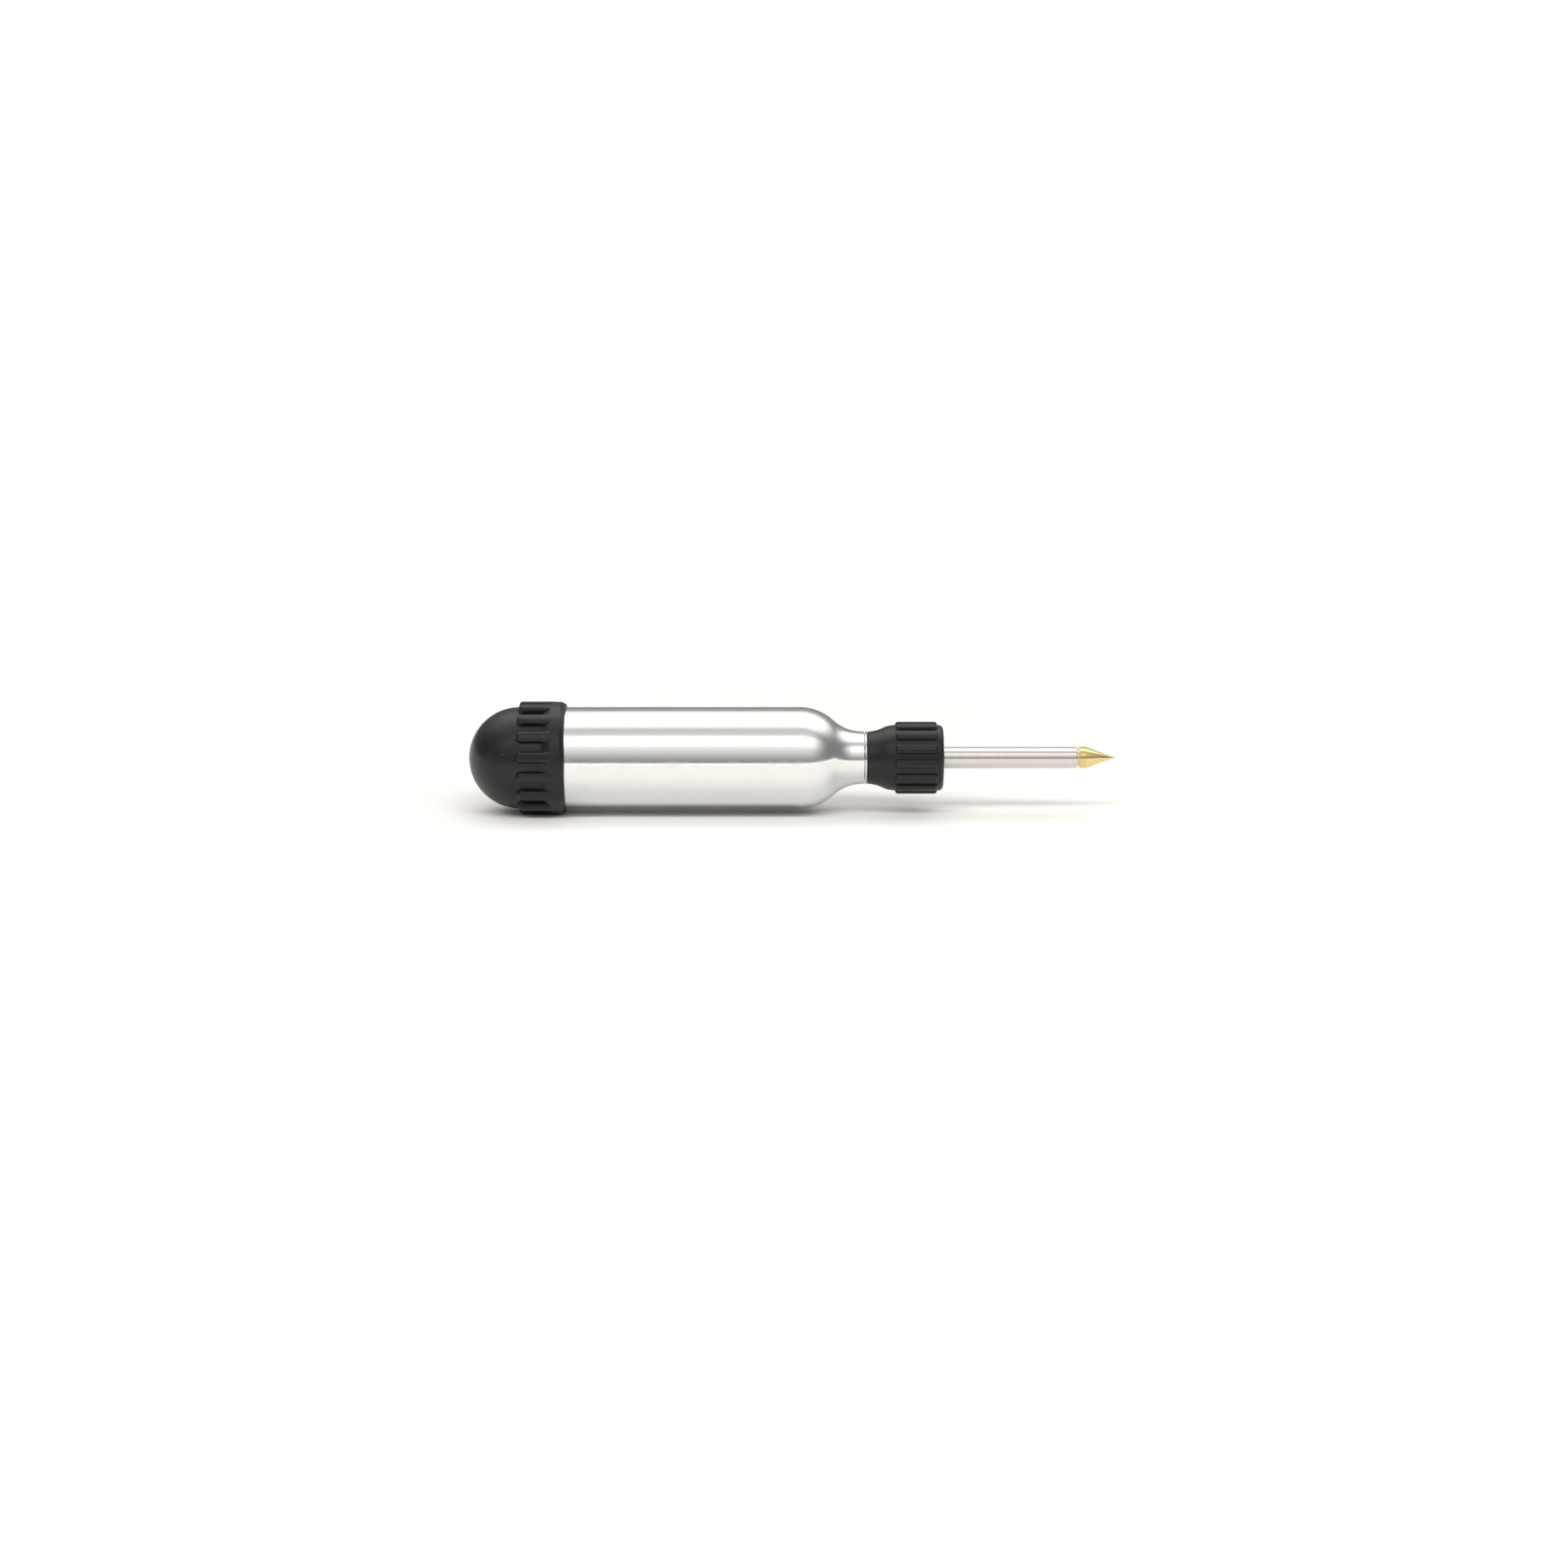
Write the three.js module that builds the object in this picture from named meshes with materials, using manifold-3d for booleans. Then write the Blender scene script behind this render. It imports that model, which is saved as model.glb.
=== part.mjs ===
// Tyre plug insertion tool: a hollow turned handle with a push-on rubber cap at the rear, a grip
// collar that carries the insertion tube and screws into the neck, and a brass-tipped plug loaded in
// the tube. The handle is the store for spare plugs and a cleaning brush.
//
// Units are millimetres and +Z is up. The tool lies along X with its point towards +X. The origin is
// on the surface that it lies on, under the middle of its length. Every piece is described on the
// tool's own axis: a station is a distance forward from the rearmost point of the cap, and a radius
// is a distance from the axis. LatheGeometry turns about Y, so the group at the end lays Y along X.
import * as THREE from "three";
import { mergeVertices } from "three/addons/utils/BufferGeometryUtils.js";
import Module from "manifold-3d";

const wasm = await Module();
wasm.setup();

// ---- Driving dimensions -------------------------------------------------------------------------

const TOTAL_LENGTH = 161.2;
const FIT = 0.1; // gap between pieces that touch on the real tool
const LARGE_ROUND = 36; // facets of the cap, handle and collar
const SMALL_ROUND = 24; // facets of the pieces inside them

const RIB_SINK = 0.6; // how far a grip rib is sunk in the piece that carries it

// Cap
const DOME_RADIUS = 12.65;
const DOME_WALL = 2.2;
const CAP_RIM_RADIUS = 13.95;
const CAP_RIM_REAR = 20.3;
const CAP_RIM_FRONT = 24.1;
const CAP_RIM_EDGE = 0.6; // rounding of the rim's two corners
const CAP_RIB = { count: 16, radius: 14.05, width: 2.9, rear: 12.9, front: 21.0, soften: 0.9 };

// Handle
const HANDLE_RADIUS = 12.7;
const HANDLE_REAR = 13.6; // rear face of the spigot that the cap is pushed on
const SPIGOT_RADIUS = 10.9;
const SPIGOT_SHOULDER = 21.6;
const SPIGOT_CHAMFER = 0.5;
const STORE_RADIUS = 9.6;
const STORE_FRONT = 80.5;
const DRILL_POINT = 4; // length of the cone at the front of the store
const SHOULDER_START = 82.5;
const SHOULDER_RADIUS = 12.65; // convex turn from handle to neck
const FILLET_RADIUS = 10.2; // concave turn into the neck
const NECK_RADIUS = 6.6;
const NECK_FACE = 98.65;

// Screw thread that joins the collar's carrier to the neck
const PITCH = 1.5;
const THREAD_CREST = 5.4;
const THREAD_ROOT = 4.6;
const THREAD_PLAY = 0.15; // radial play
const FLANK_PLAY = 0.08; // axial play on each flank
const THREAD_REAR = 90.5;
const THREAD_FRONT = 97.5;
const TAP_RUNOUT = 1.5; // length tapped behind the carrier's thread
const SEAT_RADIUS = 5.85; // mouth of the neck, where the seal lies
const SEAT_REAR = 97.6;
const SEAL = { radius: 5.22, sectionRadius: 0.43 };

// Head: carrier, collar and tube
const WASHER = { bore: 4.75, radius: 6.7 };
const COLLAR_REAR = 99.35;
const COLLAR_FRONT = 118.3;
const COLLAR_BORE = 2.93;
const COLLAR_CORE_RADIUS = 8.2;
const COLLAR_EDGE = 0.9; // rounding of the front corner
const COLLAR_RIB = { count: 14, radius: 9.0, width: 2.4, rear: 106.5, front: 116.7, soften: 0.7 };
const CARRIER_FRONT = 116.9;
const CARRIER_FLAT = 4.8; // half the distance across the flats of the hexagonal core
const POCKET_RADIUS = 3.5;
const POCKET_FRONT = 107.2;
const SCREW = { rear: 98.4, front: 102.6, chamfer: 0.4, socketFlat: 1.5, socketDepth: 2.4 };
const FERRULE_REAR = 102.75;
const BRAZE = 0.06; // gap between the tube and its ferrule
const TUBE_RADIUS = 2.68;
const TUBE_BORE = 2.2;
const TUBE_REAR = 103.3;
const TUBE_FRONT = 151.8;
const TUBE_CHAMFER = 0.2;

// Plug: brass tip and rubber cord, stations measured back from its point
const TIP_RADIUS = 2.7;
const TIP_CONE = 7.3;
const TIP_BODY = 8.95;
const TIP_CHAMFER = 0.25;
const SHANK_RADIUS = 2.1; // the part of the tip that sits in the tube
const SHANK_REAR = 10.25;
const SOCKET_RADIUS = 1.65;
const SOCKET_DEPTH = 2.6;
const CORD_RADIUS = 1.95;
const CORD_LENGTH = 30.5;
const CORD_ROUNDING = 0.4;

// Spare plugs lie side by side against the wall of the store: degrees round the axis from the
// bottom, and the station of the point.
const SPARE_OFFSET = STORE_RADIUS - TIP_RADIUS - 2 * FIT;
const SPARES = [
  { name: "spare_1", turn: -25, point: 76.2 },
  { name: "spare_2", turn: 25, point: 79.4 },
  { name: "spare_3", turn: 75, point: 77.6 },
];

// Brush, which lies on top of the spare plugs
const BRUSH_RADIUS = 5.0;
const BRUSH_LENGTH = 55.5;
const WIRE_RADIUS = 0.45;
const WIRE_SHOWING = 1.6;
const BRUSH_FRONT = STORE_FRONT - WIRE_SHOWING - 2 * FIT;
const BRUSH_REAR = BRUSH_FRONT - BRUSH_LENGTH;
const BRUSH_OFFSET = { side: 0.8, up: 4.2 };

// ---- Materials ----------------------------------------------------------------------------------

const finish = (color, roughness, metalness) =>
  new THREE.MeshStandardMaterial({ color, roughness, metalness });
const aluminium = finish(0xc9c8c4, 0.32, 1);
const rubber = finish(0x1b1b1c, 0.62, 0);
const stainless = finish(0xb9b4ae, 0.28, 1);
const polishedSteel = finish(0xd8d8d6, 0.12, 1);
const brass = finish(0xd8b466, 0.24, 1);
const tarredCord = finish(0x161616, 0.8, 0);
const sealRubber = finish(0x101010, 0.5, 0);
const pileFibre = finish(0xf2f2f0, 0.95, 0);

// ---- Shapes -------------------------------------------------------------------------------------

const at = (radius, station) => new THREE.Vector2(radius, station);

// Points of an arc in the profile plane, from angle a to angle b in degrees; 0 points away from the
// axis and 90 points forward.
function arc(centre, radius, a, b, steps) {
  return Array.from({ length: steps + 1 }, (_, i) => {
    const angle = THREE.MathUtils.degToRad(a + ((b - a) * i) / steps);
    return at(centre.x + radius * Math.cos(angle), centre.y + radius * Math.sin(angle));
  });
}

// A turned piece. Its facets touch the stated radii, with one facet square to each row axis.
function turned(profile, facets) {
  const outward = 1 / Math.cos(Math.PI / facets);
  const points = profile.map((p) => at(p.x * outward, p.y));
  return new THREE.LatheGeometry(points, facets, Math.PI / facets);
}

const ring = (inner, outer, rear, front, facets) =>
  turned(
    [at(inner, rear), at(outer, rear), at(outer, front), at(inner, front), at(inner, rear)],
    facets,
  );

const rod = (radius, rear, front, facets) =>
  turned([at(0, rear), at(radius, rear), at(radius, front), at(0, front)], facets);

function solid(geometry) {
  const bare = geometry.clone();
  for (const name of ["normal", "uv"]) bare.deleteAttribute(name);
  const merged = mergeVertices(bare, 1e-4);
  const corners = merged.index.array;
  const triVerts = [];
  for (let i = 0; i < corners.length; i += 3) {
    const [a, b, c] = corners.slice(i, i + 3);
    if (a !== b && b !== c && c !== a) triVerts.push(a, b, c);
  }
  return new wasm.Manifold(
    new wasm.Mesh({
      numProp: 3,
      vertProperties: merged.attributes.position.array,
      triVerts: new Uint32Array(triVerts),
    }),
  );
}

function geometryOf(manifold) {
  const { vertProperties, triVerts } = manifold.getMesh();
  const made = new THREE.BufferGeometry();
  made.setAttribute("position", new THREE.BufferAttribute(vertProperties, 3));
  made.setIndex(new THREE.BufferAttribute(triVerts, 1));
  made.computeVertexNormals();
  return made;
}

// An outline in the plane across the axis, extruded forward from one station to another.
function prism(outline, rear, front) {
  const made = new THREE.ExtrudeGeometry(outline, { depth: front - rear, bevelEnabled: false });
  // ExtrudeGeometry runs along Z, so it is laid along Y.
  return made.rotateX(-Math.PI / 2).translate(0, rear, 0);
}

function hexagon(halfFlat) {
  const corner = halfFlat / Math.cos(Math.PI / 6);
  const points = Array.from({ length: 6 }, (_, i) => {
    const angle = (Math.PI / 3) * i;
    return at(corner * Math.cos(angle), corner * Math.sin(angle));
  });
  return new THREE.Shape(points);
}

// A ring of grip ribs. Each rib is a bar along the axis whose ends and long edges are softened: the
// cross-section extruded along the axis, cut by the side outline extruded across it.
function gripRibs({ count, radius, width, rear, front, soften }, rootRadius) {
  const half = width / 2;
  const edge = soften * 0.45;
  const section = new THREE.Shape([
    at(-half, -rootRadius),
    at(half, -rootRadius),
    at(half - 0.1, -(radius - edge)),
    at(half - edge, -radius),
    at(-half + edge, -radius),
    at(-half + 0.1, -(radius - edge)),
  ]);
  const side = new THREE.Shape([
    at(rootRadius, rear),
    at(radius - soften, rear),
    at(radius - soften * 0.3, rear + soften * 0.3),
    at(radius, rear + soften),
    at(radius, front - soften),
    at(radius - soften * 0.3, front - soften * 0.3),
    at(radius - soften, front),
    at(rootRadius, front),
  ]);
  const sideBar = new THREE.ExtrudeGeometry(side, { depth: width * 2, bevelEnabled: false });
  sideBar.translate(0, 0, -width).rotateY(-Math.PI / 2);
  const rib = solid(prism(section, rear - 1, front + 1)).intersect(solid(sideBar));
  const first = geometryOf(rib);
  const copies = Array.from({ length: count }, (_, i) =>
    solid(first.clone().rotateY((2 * Math.PI * (i + 0.5)) / count)),
  );
  return copies.reduce((joined, copy) => joined.add(copy));
}

// A right-hand screw thread as a closed rod, cut square at both ends. Four helical lines make the
// profile: root, crest, crest, root. Rods with one origin and pitch stay in step.
function threadRod(root, crest, rear, front, flankPlay) {
  const lines = [
    [-flankPlay, root],
    [PITCH / 4 - flankPlay, crest],
    [PITCH / 2 + flankPlay, crest],
    [(PITCH * 3) / 4 + flankPlay, root],
  ];
  const firstTurn = Math.floor(rear / PITCH) - 1;
  const rows = (Math.ceil(front / PITCH) + 1 - firstTurn) * lines.length;
  const positions = [];
  const numberOf = new Map();
  const vertex = (row, column) => {
    if (column === SMALL_ROUND) return vertex(row + lines.length, 0);
    const key = row * SMALL_ROUND + column;
    if (!numberOf.has(key)) {
      const [offset, radius] = lines[row % lines.length];
      const turn = firstTurn + Math.floor(row / lines.length) + column / SMALL_ROUND;
      const angle = (2 * Math.PI * column) / SMALL_ROUND;
      const station = turn * PITCH + offset;
      numberOf.set(key, positions.length / 3);
      positions.push(radius * Math.sin(angle), station, radius * Math.cos(angle));
    }
    return numberOf.get(key);
  };
  const corners = [];
  for (let row = 0; row < rows; row++)
    for (let column = 0; column < SMALL_ROUND; column++) {
      const [a, b] = [vertex(row, column), vertex(row, column + 1)];
      const [d, c] = [vertex(row + 1, column), vertex(row + 1, column + 1)];
      corners.push(a, b, c, a, c, d);
    }
  const rearCentre = positions.length / 3;
  const frontCentre = rearCentre + 1;
  positions.push(0, firstTurn * PITCH - 1, 0);
  positions.push(0, (firstTurn + rows / lines.length + 1) * PITCH + 1, 0);
  for (let column = 0; column < SMALL_ROUND; column++) {
    corners.push(rearCentre, vertex(0, column + 1), vertex(0, column));
    corners.push(frontCentre, vertex(rows, column), vertex(rows, column + 1));
  }
  for (let row = 0; row < lines.length; row++) {
    corners.push(rearCentre, vertex(row, 0), vertex(row + 1, 0));
    corners.push(frontCentre, vertex(rows + row + 1, 0), vertex(rows + row, 0));
  }
  const helix = new wasm.Manifold(
    new wasm.Mesh({
      numProp: 3,
      vertProperties: new Float32Array(positions),
      triVerts: new Uint32Array(corners),
    }),
  );
  return helix.intersect(solid(rod(crest + 1, rear, front, SMALL_ROUND)));
}

// ---- The tool, a group whose own Y is the tool's axis -------------------------------------------

const tool = new THREE.Group();
tool.rotation.z = -Math.PI / 2;
tool.position.x = -TOTAL_LENGTH / 2;

function add(name, geometry, material, parent = tool) {
  const mesh = new THREE.Mesh(geometry, material);
  mesh.name = name;
  parent.add(mesh);
  return mesh;
}

// Rubber cap: a dome for the palm, a ribbed sleeve on the handle's spigot and a lip over its edge.
function endCap() {
  const dome = at(0, DOME_RADIUS);
  const hollow = DOME_RADIUS - DOME_WALL;
  const shell = turned(
    [
      ...arc(dome, DOME_RADIUS, -90, 0, 9),
      at(DOME_RADIUS, CAP_RIM_REAR),
      at(CAP_RIM_RADIUS, CAP_RIM_REAR + CAP_RIM_EDGE),
      at(CAP_RIM_RADIUS, CAP_RIM_FRONT - CAP_RIM_EDGE),
      at(CAP_RIM_RADIUS - CAP_RIM_EDGE, CAP_RIM_FRONT),
      at(HANDLE_RADIUS + FIT, CAP_RIM_FRONT),
      at(HANDLE_RADIUS + FIT, SPIGOT_SHOULDER - FIT),
      at(SPIGOT_RADIUS + FIT, SPIGOT_SHOULDER - FIT),
      at(SPIGOT_RADIUS + FIT, HANDLE_REAR - FIT),
      at(hollow, HANDLE_REAR - FIT),
      ...arc(dome, hollow, 0, -90, 6),
    ],
    LARGE_ROUND,
  );
  return geometryOf(solid(shell).add(gripRibs(CAP_RIB, DOME_RADIUS - RIB_SINK)));
}

// Handle: one turned aluminium piece, with the store bored from the rear and the neck tapped.
function handleShell() {
  const turn = THREE.MathUtils.radToDeg(
    Math.acos(1 - (HANDLE_RADIUS - NECK_RADIUS) / (SHOULDER_RADIUS + FILLET_RADIUS)),
  );
  const reach = (SHOULDER_RADIUS + FILLET_RADIUS) * Math.sin(THREE.MathUtils.degToRad(turn));
  const bulge = at(HANDLE_RADIUS - SHOULDER_RADIUS, SHOULDER_START);
  const waist = at(NECK_RADIUS + FILLET_RADIUS, SHOULDER_START + reach);
  const bore = THREAD_ROOT + THREAD_PLAY;
  const blank = turned(
    [
      at(STORE_RADIUS, HANDLE_REAR),
      at(SPIGOT_RADIUS - SPIGOT_CHAMFER, HANDLE_REAR),
      at(SPIGOT_RADIUS, HANDLE_REAR + SPIGOT_CHAMFER),
      at(SPIGOT_RADIUS, SPIGOT_SHOULDER),
      at(HANDLE_RADIUS, SPIGOT_SHOULDER),
      ...arc(bulge, SHOULDER_RADIUS, 0, turn, 6),
      ...arc(waist, FILLET_RADIUS, 180 + turn, 180, 5).slice(1),
      at(NECK_RADIUS, NECK_FACE),
      at(SEAT_RADIUS, NECK_FACE),
      at(SEAT_RADIUS, SEAT_REAR),
      at(bore, SEAT_REAR),
      at(bore, STORE_FRONT + DRILL_POINT),
      at(STORE_RADIUS, STORE_FRONT),
      at(STORE_RADIUS, HANDLE_REAR),
    ],
    LARGE_ROUND,
  );
  const tap = threadRod(
    THREAD_ROOT + THREAD_PLAY,
    THREAD_CREST + THREAD_PLAY,
    THREAD_REAR - TAP_RUNOUT,
    (SEAT_REAR + NECK_FACE) / 2,
    FLANK_PLAY,
  );
  return geometryOf(solid(blank).subtract(tap));
}

// O-ring in the mouth of the neck.
function neckSeal() {
  const centre = at(SEAL.radius, (SEAT_REAR + NECK_FACE) / 2);
  return turned(arc(centre, SEAL.sectionRadius, 0, 360, 8), SMALL_ROUND);
}

// Carrier: screws into the neck, and its hexagonal core keys the collar moulded round it.
function carrier() {
  const thread = threadRod(THREAD_ROOT, THREAD_CREST, THREAD_REAR, THREAD_FRONT, 0);
  const leadIn = turned(
    [
      at(0, THREAD_REAR - 1),
      at(THREAD_ROOT - 1, THREAD_REAR - 1),
      at(THREAD_CREST + 1, THREAD_REAR + 1),
      at(THREAD_CREST + 1, THREAD_FRONT + 1),
      at(0, THREAD_FRONT + 1),
    ],
    SMALL_ROUND,
  );
  const shank = rod(THREAD_ROOT - FIT, THREAD_FRONT - 1, COLLAR_REAR + 1, SMALL_ROUND);
  const core = prism(hexagon(CARRIER_FLAT), COLLAR_REAR, CARRIER_FRONT);
  const pocket = rod(POCKET_RADIUS, THREAD_REAR - 1, POCKET_FRONT, SMALL_ROUND);
  const tubeHole = rod(TUBE_RADIUS + FIT, POCKET_FRONT - 1, CARRIER_FRONT + 1, SMALL_ROUND);
  return geometryOf(
    thread
      .intersect(solid(leadIn))
      .add(solid(shank))
      .add(solid(core))
      .subtract(solid(pocket))
      .subtract(solid(tubeHole)),
  );
}

// Collar: the ribbed rubber grip, whose flat front face stops the tool against the tread.
function collar() {
  const frontCorner = at(COLLAR_CORE_RADIUS - COLLAR_EDGE, COLLAR_FRONT - COLLAR_EDGE);
  const shell = turned(
    [
      at(COLLAR_BORE, COLLAR_REAR),
      at(NECK_RADIUS - 0.3, COLLAR_REAR),
      at(NECK_RADIUS, COLLAR_REAR + 0.3),
      at(NECK_RADIUS + 0.1, COLLAR_REAR + 1.6),
      at(NECK_RADIUS + 0.6, COLLAR_REAR + 3.1),
      at(COLLAR_CORE_RADIUS - 0.3, COLLAR_REAR + 4.9),
      at(COLLAR_CORE_RADIUS, COLLAR_REAR + 6.4),
      ...arc(frontCorner, COLLAR_EDGE, 0, 90, 3),
      at(COLLAR_BORE, COLLAR_FRONT),
      at(COLLAR_BORE, COLLAR_REAR),
    ],
    LARGE_ROUND,
  );
  const key = prism(hexagon(CARRIER_FLAT + FIT), COLLAR_REAR - 1, CARRIER_FRONT + FIT);
  const ribs = gripRibs(COLLAR_RIB, COLLAR_CORE_RADIUS - RIB_SINK);
  return geometryOf(solid(shell).add(ribs).subtract(solid(key)));
}

// Grub screw: closes the carrier behind the tube, with a hexagon socket for its key.
function retainingScrew() {
  const { rear, front, chamfer, socketFlat, socketDepth } = SCREW;
  const radius = POCKET_RADIUS - FIT;
  const body = turned(
    [
      at(0, rear),
      at(radius - chamfer, rear),
      at(radius, rear + chamfer),
      at(radius, front - chamfer),
      at(radius - chamfer, front),
      at(0, front),
    ],
    SMALL_ROUND,
  );
  const socket = prism(hexagon(socketFlat), rear - 1, rear + socketDepth);
  return geometryOf(solid(body).subtract(solid(socket)));
}

// Ferrule brazed to the rear of the tube; it bears on the front of the carrier's pocket.
function tubeFerrule() {
  const outer = POCKET_RADIUS - FIT;
  return turned(
    [
      at(TUBE_BORE, FERRULE_REAR),
      at(outer, FERRULE_REAR),
      at(outer, POCKET_FRONT - FIT),
      at(TUBE_RADIUS + BRAZE, POCKET_FRONT - FIT),
      at(TUBE_RADIUS + BRAZE, TUBE_REAR - BRAZE),
      at(TUBE_BORE, TUBE_REAR - BRAZE),
      at(TUBE_BORE, FERRULE_REAR),
    ],
    SMALL_ROUND,
  );
}

function insertionTube() {
  return turned(
    [
      at(TUBE_BORE, TUBE_REAR),
      at(TUBE_RADIUS, TUBE_REAR),
      at(TUBE_RADIUS, TUBE_FRONT - TUBE_CHAMFER),
      at(TUBE_RADIUS - TUBE_CHAMFER, TUBE_FRONT),
      at(TUBE_BORE, TUBE_FRONT),
      at(TUBE_BORE, TUBE_REAR),
    ],
    SMALL_ROUND,
  );
}

// Brass tip of a plug, with its point at station `point`.
function plugTip(point, facets) {
  return turned(
    [
      at(0, point - SHANK_REAR + SOCKET_DEPTH),
      at(SOCKET_RADIUS, point - SHANK_REAR + SOCKET_DEPTH),
      at(SOCKET_RADIUS, point - SHANK_REAR),
      at(SHANK_RADIUS, point - SHANK_REAR),
      at(SHANK_RADIUS, point - TIP_BODY),
      at(TIP_RADIUS - TIP_CHAMFER, point - TIP_BODY),
      at(TIP_RADIUS, point - TIP_BODY + TIP_CHAMFER),
      at(TIP_RADIUS, point - TIP_CONE),
      at(0, point),
    ],
    facets,
  );
}

// Tarred rubber cord of a plug, glued into its tip.
function plugCord(point, facets) {
  const front = point - SHANK_REAR - FIT;
  const rear = front - CORD_LENGTH;
  return turned(
    [
      at(0, rear),
      at(CORD_RADIUS - CORD_ROUNDING, rear),
      at(CORD_RADIUS, rear + CORD_ROUNDING),
      at(CORD_RADIUS, front),
      at(SOCKET_RADIUS - FIT, front),
      at(SOCKET_RADIUS - FIT, front + SOCKET_DEPTH - FIT),
      at(0, front + SOCKET_DEPTH - FIT),
    ],
    facets,
  );
}

add("end_cap", endCap(), rubber);
add("handle_shell", handleShell(), aluminium);
add("neck_seal", neckSeal(), sealRubber);
add(
  "thrust_washer",
  ring(WASHER.bore, WASHER.radius, NECK_FACE + FIT, COLLAR_REAR - FIT, LARGE_ROUND),
  polishedSteel,
);
add("grip_collar", collar(), rubber);
add("tube_carrier", carrier(), aluminium);
add("retaining_screw", retainingScrew(), stainless);
add("tube_ferrule", tubeFerrule(), brass);
add("insertion_tube", insertionTube(), stainless);
add("plug_tip", plugTip(TOTAL_LENGTH, SMALL_ROUND), brass);
add("plug_cord", plugCord(TOTAL_LENGTH, 12), tarredCord);

for (const { name, turn, point } of SPARES) {
  const angle = THREE.MathUtils.degToRad(turn);
  const spare = new THREE.Group();
  spare.position.set(SPARE_OFFSET * Math.sin(angle), 0, -SPARE_OFFSET * Math.cos(angle));
  tool.add(spare);
  add(`${name}_tip`, plugTip(point, 16), brass, spare);
  add(`${name}_cord`, plugCord(point, 10), tarredCord, spare);
}

const brush = new THREE.Group();
brush.position.set(BRUSH_OFFSET.side, 0, BRUSH_OFFSET.up);
tool.add(brush);
add(
  "brush_pile",
  ring(WIRE_RADIUS + FIT, BRUSH_RADIUS, BRUSH_REAR, BRUSH_FRONT, 16),
  pileFibre,
  brush,
);
add(
  "brush_wire",
  rod(WIRE_RADIUS, BRUSH_REAR - WIRE_SHOWING, BRUSH_FRONT + WIRE_SHOWING, 8),
  stainless,
  brush,
);

// Stand the tool on its lowest ribs.
tool.updateMatrixWorld(true);
tool.position.z = -new THREE.Box3().setFromObject(tool, true).min.z;

export default tool;
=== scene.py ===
"""Tyre plug insertion tool: what shows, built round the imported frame. Blender metres, +Z up, and the
tool lies along X with its point towards +X. Each section makes one piece in millimetres on the
tool's axis: a station is a distance forward from the rear of the cap."""

import bmesh
import bpy
import random
from collections import namedtuple
from math import atan2, cos, hypot, pi, radians, sin, tan
from mathutils import Matrix, Vector


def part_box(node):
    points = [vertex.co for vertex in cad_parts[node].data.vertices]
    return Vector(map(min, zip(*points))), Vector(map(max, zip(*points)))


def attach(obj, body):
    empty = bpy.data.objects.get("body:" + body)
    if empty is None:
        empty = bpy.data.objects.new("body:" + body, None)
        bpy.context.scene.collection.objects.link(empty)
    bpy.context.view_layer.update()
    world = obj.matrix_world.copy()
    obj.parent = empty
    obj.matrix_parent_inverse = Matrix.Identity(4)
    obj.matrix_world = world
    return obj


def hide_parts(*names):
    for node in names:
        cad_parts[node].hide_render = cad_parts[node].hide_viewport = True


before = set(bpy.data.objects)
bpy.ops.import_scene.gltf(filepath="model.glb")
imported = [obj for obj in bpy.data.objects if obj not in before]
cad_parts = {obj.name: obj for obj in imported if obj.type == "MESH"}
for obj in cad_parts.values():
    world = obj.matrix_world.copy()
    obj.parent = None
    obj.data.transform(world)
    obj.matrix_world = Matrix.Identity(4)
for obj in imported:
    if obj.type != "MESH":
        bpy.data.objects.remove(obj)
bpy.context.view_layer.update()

# ---- Camera and studio --------------------------------------------------------------------------
# The tool lies on white paper in a light room. Its metal mirrors a wide bright ceiling and a narrow
# bright window in front, with a grey gap between them. Two soft lights in front cast the shadows.
axis_low, axis_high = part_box("insertion_tube")
AXIS_HEIGHT = (axis_low.z + axis_high.z) / 2
AIM = Vector((-0.0020, 0, AXIS_HEIGHT - 0.0067))
CAMERA_DISTANCE = 0.900
CAMERA_ELEVATION = radians(11.5)

camera = bpy.data.objects.new("camera", bpy.data.cameras.new("camera"))
camera.data.lens = 82.6
camera.data.sensor_width = 36
camera.data.clip_start = 0.01
camera.location = AIM + CAMERA_DISTANCE * Vector((0, -cos(CAMERA_ELEVATION), sin(CAMERA_ELEVATION)))
camera.rotation_euler = (pi / 2 - CAMERA_ELEVATION, 0, 0)
bpy.context.scene.collection.objects.link(camera)
bpy.context.scene.camera = camera
bpy.context.scene.view_settings.view_transform = "Standard"


def soft_light(name, elevation, distance, length, depth, radiance):
    """A rectangular light that faces the tool and isn't mirrored. Elevation 0 is level in front."""
    light = bpy.data.lights.new(name, "AREA")
    light.shape = "RECTANGLE"
    light.size = length
    light.size_y = depth
    light.energy = radiance * pi * length * depth
    lamp = bpy.data.objects.new(name, light)
    toward = Vector((0, -cos(radians(elevation)), sin(radians(elevation))))
    lamp.location = Vector((0, 0, AXIS_HEIGHT)) + distance * toward
    lamp.rotation_euler = (radians(90 - elevation), 0, 0)
    lamp.visible_glossy = False
    bpy.context.scene.collection.objects.link(lamp)


soft_light("front_light", elevation=50, distance=0.9, length=1.9, depth=0.26, radiance=6.0)
soft_light("low_light", elevation=28, distance=0.9, length=1.2, depth=0.16, radiance=1.2)


def node(tree, kind, **values):
    """A shader node with its settings and the defaults of its inputs."""
    made = tree.nodes.new(kind)
    for key, value in values.items():
        if hasattr(made, key):
            setattr(made, key, value)
        else:
            made.inputs[key.replace("_", " ")].default_value = value
    return made


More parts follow.
